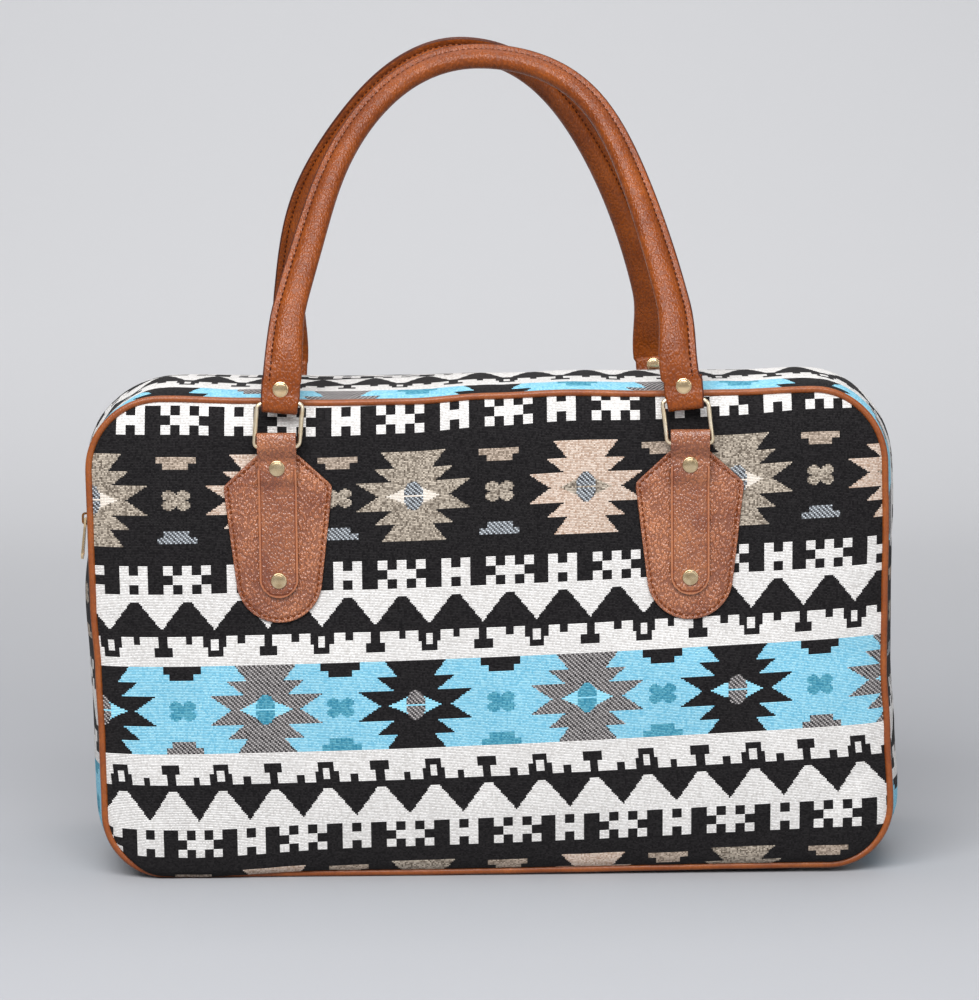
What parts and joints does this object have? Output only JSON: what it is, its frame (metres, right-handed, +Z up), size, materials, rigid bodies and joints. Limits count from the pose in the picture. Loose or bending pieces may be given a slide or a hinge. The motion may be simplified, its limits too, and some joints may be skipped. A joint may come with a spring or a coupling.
{
  "type": "travel bag",
  "caption": "Boxy soft travel bag in patterned woven cloth with leather piping, zip top and rolled leather handles on rectangular rings.",
  "frame": {"origin": "on the floor under the middle of the bag's body", "axes": "+X along the width to the right, +Y through the depth to the back, +Z up"},
  "size_m": [0.5336, 0.2186, 0.5332],
  "materials": {
    "woven_cloth": "flat-woven jacquard with bands of black, white, blue, taupe and grey",
    "tan_leather": "pebbled tan leather, soft satin",
    "piping_leather": "smooth tan leather rolled over cord",
    "zip_tape": "dark brown woven zip tape with its coil",
    "pale_gold": "pale gold plating, polished",
    "antique_gold": "pale gold plating, brushed and a little dulled",
    "aged_brass": "aged brass with a brown patina"
  },
  "bodies": {
    "bag": {"front_panel": "woven_cloth", "back_panel": "woven_cloth", "lower_gusset": "woven_cloth", "zip_gusset_front": "woven_cloth", "zip_gusset_back": "woven_cloth", "front_piping": "piping_leather", "back_piping": "piping_leather", "zip_tape_front": "zip_tape", "zip_tape_back": "zip_tape", "front_left_patch": "tan_leather", "front_right_patch": "tan_leather", "back_left_patch": "tan_leather", "back_right_patch": "tan_leather", "front_left_chape": "tan_leather", "front_right_chape": "tan_leather", "back_left_chape": "tan_leather", "back_right_chape": "tan_leather", "front_left_chape_rivets": "antique_gold", "front_right_chape_rivets": "antique_gold", "back_left_chape_rivets": "antique_gold", "back_right_chape_rivets": "antique_gold"},
    "front_left_ring": {"front_left_ring": "pale_gold"},
    "front_right_ring": {"front_right_ring": "pale_gold"},
    "back_left_ring": {"back_left_ring": "pale_gold"},
    "back_right_ring": {"back_right_ring": "pale_gold"},
    "front_handle": {"front_handle": "tan_leather", "front_handle_rivets": "pale_gold"},
    "back_handle": {"back_handle": "tan_leather", "back_handle_rivets": "pale_gold"},
    "zip_slider": {"zip_slider": "aged_brass"},
    "zip_puller": {"zip_puller": "pale_gold"}
  },
  "joints": [
    {"name": "front_left_ring_swing", "type": "hinge", "parent": "bag", "child": "front_left_ring", "pos_m": [-0.1325, -0.1048, 0.2765], "axis": [1, 0, 0], "range_deg": [0, 150]},
    {"name": "front_right_ring_swing", "type": "hinge", "parent": "bag", "child": "front_right_ring", "pos_m": [0.1255, -0.1048, 0.2765], "axis": [1, 0, 0], "range_deg": [0, 150]},
    {"name": "front_handle_swing", "type": "hinge", "parent": "front_left_ring", "child": "front_handle", "pos_m": [-0.1325, -0.1048, 0.3035], "axis": [1, 0, 0], "range_deg": [0, 50]},
    {"name": "back_left_ring_swing", "type": "hinge", "parent": "bag", "child": "back_left_ring", "pos_m": [-0.14, 0.1048, 0.2765], "axis": [-1, 0, 0], "range_deg": [0, 150]},
    {"name": "back_right_ring_swing", "type": "hinge", "parent": "bag", "child": "back_right_ring", "pos_m": [0.118, 0.1048, 0.2765], "axis": [-1, 0, 0], "range_deg": [0, 150]},
    {"name": "back_handle_swing", "type": "hinge", "parent": "back_left_ring", "child": "back_handle", "pos_m": [-0.14, 0.1048, 0.3035], "axis": [-1, 0, 0], "range_deg": [0, 50]},
    {"name": "zip_slide", "type": "slide", "parent": "bag", "child": "zip_slider", "axis": [0, 0, 1], "range_m": [0, 0.024]},
    {"name": "zip_puller_swing", "type": "hinge", "parent": "zip_slider", "child": "zip_puller", "pos_m": [-0.2661, 0, 0.221], "axis": [0, 1, 0], "range_deg": [0, 150]}
  ],
  "couplings": [
    {"joint": "front_right_ring_swing", "follows": "front_left_ring_swing", "ratio": 1},
    {"joint": "back_right_ring_swing", "follows": "back_left_ring_swing", "ratio": 1}
  ]
}
